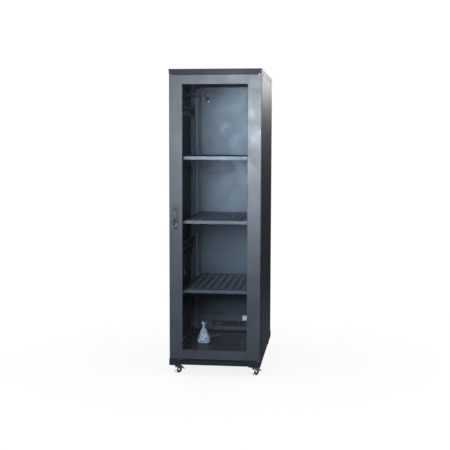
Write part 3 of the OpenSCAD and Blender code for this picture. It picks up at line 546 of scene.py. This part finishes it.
def make_tie():
    """A hook-and-loop strap, wrapped round the hank's waist and lapped over itself."""
    bm = bmesh.new()
    outline = rounded_section(0.0122, 0.0172, 0.005, 5)
    rings = []
    wraps = outline + outline[:9]
    for i, (v, w) in enumerate(wraps):
        lift = 1 + 0.11 * (i >= len(outline)) + 0.015 * math.sin(i * 1.7)
        here = in_hank(TIE_U, v * lift, w * lift - 0.0032)
        out = (in_hank(0, v, w) - in_hank(0, 0, 0)).normalized()
        along = (in_hank(1, 0, 0) - in_hank(0, 0, 0)).normalized()
        rings.append([here + along * (a * 0.0045) + out * (b * 0.0006)
                      for a, b in ((-1, -1), (1, -1), (1.04, 0), (1, 1), (-1, 1), (-1.04, 0))])
    loft(bm, rings)
    return mesh_object("lead_tie", bm, RUBBER, "cabinet")


plug_body, plug_pins = make_plug()
lead_tie = make_tie()
for piece in (plug_body, plug_pins):
    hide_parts("mains_plug")
wear(mains_lead, LEAD_SKIN)
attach(mains_lead, "cabinet")
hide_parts("mains_cord", "mains_hank")
wear(earth_wire, EARTH_SKIN)
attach(earth_wire, "cabinet")
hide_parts("earth_lead")


# ---- Bag of fixings ----

BAG_SIDES = 72
# Height above the floor and radius, from the foot past the tied neck to the flared top
BAG_RINGS = [
    (0.0004, 0.030), (0.0004, 0.040), (0.004, 0.046), (0.012, 0.048), (0.022, 0.0485),
    (0.032, 0.047), (0.044, 0.043), (0.056, 0.038), (0.068, 0.033), (0.080, 0.027), (0.092, 0.019),
    (0.102, 0.012), (0.110, 0.0065), (0.117, 0.0050), (0.122, 0.0070), (0.130, 0.0115),
    (0.138, 0.0155), (0.146, 0.019),
]
SCREW_PROFILE = [(0, 0.0030), (0.0002, 0.0058), (0.0018, 0.0060), (0.0034, 0.0044), (0.0038, 0.0029)]
for thread in range(9):
    SCREW_PROFILE += [(0.0042 + thread * 0.0015, 0.0029), (0.0049 + thread * 0.0015, 0.0025)]
SCREW_PROFILE += [(0.0180, 0.0016)]


def bag_film():
    """A tied bag: pleats gather at the neck, and the film crumples where it is slack."""
    at = middle("hardware_bag")
    at.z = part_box("hardware_bag")[0].z
    rings = []
    for z, radius in BAG_RINGS:
        neck = math.exp(-(((z - 0.115) / 0.030) ** 2))
        slack = 0.10 + 0.20 * math.sin(math.pi * min(1, z / 0.11))
        ring = []
        for k in range(BAG_SIDES):
            a = 2 * math.pi * k / BAG_SIDES
            pleat = 0.22 * neck * (math.cos(9 * a + z * 40) + 0.5 * math.cos(14 * a - z * 25))
            fold = noise.noise(Vector((math.cos(a) * 2.2, math.sin(a) * 2.2, z * 38)))
            crease = abs(noise.noise(Vector((math.cos(a) * 6, math.sin(a) * 6, z * 90 + 7))))
            r = radius * min(1.0, 1 + pleat - slack * (0.6 * abs(fold) + crease))
            top = 0.006 * math.sin(3 * a + 1) * (z > 0.14)
            ring.append(Vector((at.x + r * math.cos(a), at.y + r * math.sin(a),
                                at.z + max(0.0003, min(0.1495, z + top)))))
        rings.append(ring)
    bm = bmesh.new()
    loft(bm, rings, caps=False)
    bm.faces.new(list(bm.verts)[:BAG_SIDES][::-1])
    bag = mesh_object("bag_film", bm, FILM, "cabinet")
    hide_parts("hardware_bag")
    return at


def bag_contents(at):
    """M6 screws and cage nuts, lying in the bag."""
    draw = random.Random(6)
    bm = bmesh.new()
    for i in range(16):
        level = 0.007 + 0.0085 * (i // 6)
        a = draw.uniform(0, 2 * math.pi)
        foot = at + Vector((draw.uniform(-0.020, 0.020), draw.uniform(-0.020, 0.020), level))
        way = Vector((math.cos(a), math.sin(a), draw.uniform(-0.12, 0.12)))
        turned(bm, foot - way * 0.009, way, SCREW_PROFILE, 16)
    screws = mesh_object("bag_screws", bm, ZINC, "cabinet")
    bm = bmesh.new()
    for i in range(8):
        a = draw.uniform(0, 2 * math.pi)
        here = at + Vector((draw.uniform(-0.022, 0.022), draw.uniform(-0.022, 0.022), 0.034))
        turn = Matrix.Rotation(a, 4, "Z") @ Matrix.Rotation(draw.uniform(-0.6, 0.6), 4, "X")
        place = Matrix.Translation(here) @ turn @ Matrix.Diagonal((0.012, 0.010, 0.0055, 1))
        made = bmesh.ops.create_cube(bm, size=1, matrix=place)
        edges = list({e for v in made["verts"] for e in v.link_edges})
        bmesh.ops.bevel(bm, geom=edges, offset=0.0012, segments=2, affect="EDGES")
    nuts = mesh_object("bag_cage_nuts", bm, ZINC, "cabinet", smooth=False)
    bm = bmesh.new()
    for wrap in range(2):
        rings = []
        for k in range(28):
            a = 2 * math.pi * k / 28
            out = Vector((math.cos(a), math.sin(a), 0))
            centre = Vector((at.x, at.y, at.z + 0.1155 + 0.0016 * wrap)) + out * 0.0066
            rings.append([centre + out * (0.0008 * math.cos(b)) + Vector((0, 0, 0.0008 * math.sin(b)))
                          for b in [2 * math.pi * j / 8 for j in range(8)]])
        loft(bm, rings, closed=True)
    tie = mesh_object("bag_tie", bm, PAPER, "cabinet")


bag_contents(bag_film())


# ---- Blank label on the rear lower panel ----

def make_label():
    """A blank label stuck on the panel's stiffener, with one corner lifting."""
    low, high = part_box("rear_lower_panel")
    face_y = high.y - 0.010
    centre = Vector((0.105, face_y - 0.0003, 0.198))
    wide, tall, count = 0.040, 0.037, 12
    bm = bmesh.new()
    rows = []
    for j in range(count + 1):
        row = []
        for i in range(count + 1):
            x, z = (i / count - 0.5) * wide, (j / count - 0.5) * tall
            lift = max(0, x / wide + z / tall - 0.62) ** 2 * 0.020
            row.append(bm.verts.new(centre + Vector((x, -lift, z))))
        rows.append(row)
    for j in range(count):
        for i in range(count):
            bm.faces.new((rows[j][i], rows[j][i + 1], rows[j + 1][i + 1], rows[j + 1][i]))
    label = mesh_object("blank_label", bm, PAPER, "cabinet")
    thick = label.modifiers.new("thickness", "SOLIDIFY")
    thick.thickness = 0.0002


make_label()


# ---- Cable entries: a brush in the rear slot and split membranes in the floor grommets ----

def slot_brush():
    """Nylon bristles in two rows, one from each long edge of the slot, one behind the other."""
    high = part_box("rear_lower_panel")[1]
    draw = random.Random(11)
    bm = bmesh.new()
    low_z, high_z, half = 0.136, 0.170, 0.150
    count = 520
    for row, z0, z1 in ((0, low_z, 0.1655), (1, high_z, 0.1405)):
        for i in range(count):
            x = -half + 2 * half * (i + 0.5 * row) / count
            y = high.y - 0.0022 - 0.0016 * row
            tip = draw.uniform(-0.0012, 0.0012)
            ring = []
            for z, r, shift in ((z0, 0.00055, 0), (z1, 0.00048, tip)):
                ring.append([Vector((x + shift + r * math.cos(a), y + r * math.sin(a), z))
                             for a in (0, 2.09, 4.19)])
            loft(bm, ring)
    brush = mesh_object("slot_brush", bm, PLASTIC, "cabinet", smooth=False)
    bm = bmesh.new()
    for z in (low_z - 0.003, high_z + 0.003):
        section = rounded_section(0.0035, 0.0018, 0.001)
        rings = [[Vector((x, high.y - 0.0032 + b, z + a)) for a, b in section]
                 for x in (-half - 0.004, half + 0.004)]
        loft(bm, rings)
    rail = mesh_object("brush_holders", bm, PLASTIC, "cabinet", smooth=False)


def grommet_membranes():
    """Rubber petals that close each round floor entry until a cable is pushed through."""
    low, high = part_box("floor_grommets")
    radius = (high.y - low.y) / 2 - 0.010
    bm = bmesh.new()
    for side in (-1, 1):
        centre = Vector((side * 0.076, (low.y + high.y) / 2, high.z - 0.0018))
        for k in range(8):
            a0, a1 = math.pi * k / 4 + 0.012, math.pi * (k + 1) / 4 - 0.012
            outer = [a0 + (a1 - a0) * i / 6 for i in range(7)]
            top = [centre + Vector((radius * math.cos(a), radius * math.sin(a), 0)) for a in outer]
            mid = (a0 + a1) / 2
            tip = centre + Vector((0.0012 * math.cos(mid), 0.0012 * math.sin(mid), -0.0022))
            upper = [bm.verts.new(p) for p in top + [tip]]
            lower = [bm.verts.new(p - Vector((0, 0, 0.0010))) for p in top + [tip]]
            bm.faces.new(upper)
            bm.faces.new(lower[::-1])
            for i in range(len(upper)):
                j = (i + 1) % len(upper)
                bm.faces.new((upper[j], upper[i], lower[i], lower[j]))
    petals = mesh_object("grommet_membranes", bm, RUBBER, "cabinet", smooth=False)


slot_brush()
grommet_membranes()


# ---- Studio ----

def area(name, at, target, wide, tall, power, tint=(1, 1, 1), skip=("door_glass",), shine=True):
    """A soft panel light that the camera doesn't see, on every piece but the skipped ones."""
    data = bpy.data.lights.new(name, "AREA")
    data.shape = "RECTANGLE"
    data.size, data.size_y = wide, tall
    data.energy = power
    data.color = tint
    obj = link(bpy.data.objects.new(name, data))
    obj.location = at
    obj.rotation_mode = "QUATERNION"
    obj.rotation_quaternion = (Vector(target) - Vector(at)).to_track_quat("-Z", "Y")
    obj.visible_camera = False
    obj.visible_glossy = shine
    lit = bpy.data.collections.new(f"{name}_lights")
    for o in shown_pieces():
        if o.name not in skip:
            lit.objects.link(o)
    obj.light_linking.receiver_collection = lit


FLOOR_R = 3.4


def make_floor():
    """A pale round floor that fades out into the white backdrop."""
    bm = bmesh.new()
    bmesh.ops.create_circle(bm, cap_ends=True, segments=96, radius=FLOOR_R)
    data = bpy.data.meshes.new("floor")
    bm.to_mesh(data)
    bm.free()
    floor = link(bpy.data.objects.new("floor", data))
    pale = Surface("pale_floor")
    cloud = pale.span(pale.noise(0.5, 2), 0, 1)
    pale.colour(pale.mix(cloud, (0.46, 0.46, 0.465), (0.49, 0.49, 0.495)))
    pale.rough(pale.span(pale.noise(2, 2), 0.85, 0.95))
    pale.set(Specular_IOR_Level=0.0)
    pale.shader.inputs["Emission Color"].default_value = (1, 1, 1, 1)
    seen = pale.add("ShaderNodeLightPath").outputs["Is Camera Ray"]
    pale.join(pale.span(seen, 0, 0.86, 0, 1), pale.shader.inputs["Emission Strength"])
    away = pale.add("ShaderNodeVectorMath", operation="LENGTH")
    pale.join(pale.place, away.inputs[0])
    pale.join(pale.span(away.outputs["Value"], 1, 0, 1.0, FLOOR_R), pale.shader.inputs["Alpha"])
    wear(floor, pale)
    floor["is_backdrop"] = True


def make_world():
    """White where the camera sees it; for the object, a dim room that is lighter higher up."""
    world = bpy.data.worlds.new("studio")
    scene.world = world
    world.use_nodes = True
    tree = world.node_tree
    background = next(n for n in tree.nodes if n.type == "BACKGROUND")
    place = tree.nodes.new("ShaderNodeTexCoord")
    split = tree.nodes.new("ShaderNodeSeparateXYZ")
    tree.links.new(place.outputs["Generated"], split.inputs[0])
    rise = tree.nodes.new("ShaderNodeMapRange")
    rise.interpolation_type = "SMOOTHSTEP"
    set_range(rise, -0.10, 0.45, 0.03, 0.30)
    tree.links.new(split.outputs["Z"], rise.inputs["Value"])
    seen = tree.nodes.new("ShaderNodeLightPath")
    strength = tree.nodes.new("ShaderNodeMix")
    tree.links.new(seen.outputs["Is Camera Ray"], strength.inputs[0])
    tree.links.new(rise.outputs["Result"], strength.inputs[2])
    strength.inputs[3].default_value = 1.05
    tree.links.new(strength.outputs[0], background.inputs["Strength"])
    background.inputs["Color"].default_value = (0.97, 0.98, 1.0, 1)


make_floor()
make_world()
TRIM = ("top_cover", "top_frame", "base_frame")
OUTSIDE = ("door_frame", "door_glass", "glass_gasket", "handle_body", "handle_lever", "lock_shell",
           "lock_spindle", "key_plug", "hinge_pins", "side_panel_left", "side_panel_right",
           "side_latch_left", "side_latch_right", *TRIM)
KEY_AT, KEY_TARGET, KEY_SIZE = (0.10, -3.5, 1.62), (0.10, -0.5, 1.55), 0.8
KEY_TINT = (0.93, 1.0, 1.08)
area("key", KEY_AT, KEY_TARGET, KEY_SIZE, KEY_SIZE, 120, KEY_TINT, skip=("door_glass", *TRIM))
area("trim_key", KEY_AT, KEY_TARGET, KEY_SIZE, KEY_SIZE, 34, KEY_TINT,
     skip=[o.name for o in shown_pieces() if o.name not in TRIM])
area("through_glass", (-0.42, -3.0, 1.62), (-0.1, 0.5, 1.3), 1.0, 1.2, 130, (0.90, 1.0, 1.10),
     skip=OUTSIDE)
area("over", (0.0, -1.2, 4.4), (0, 0, 1), 2.5, 2.5, 60, shine=False)
area("left_fill", (-3.5, -3.0, 2.6), (0, 0, 1.2), 1.6, 1.6, 45, (0.95, 1.0, 1.05))
area("rear_fill", (1.8, 4.5, 3.0), (0, 0, 1), 2.0, 2.0, 60)
scene.view_settings.view_transform = "Standard"
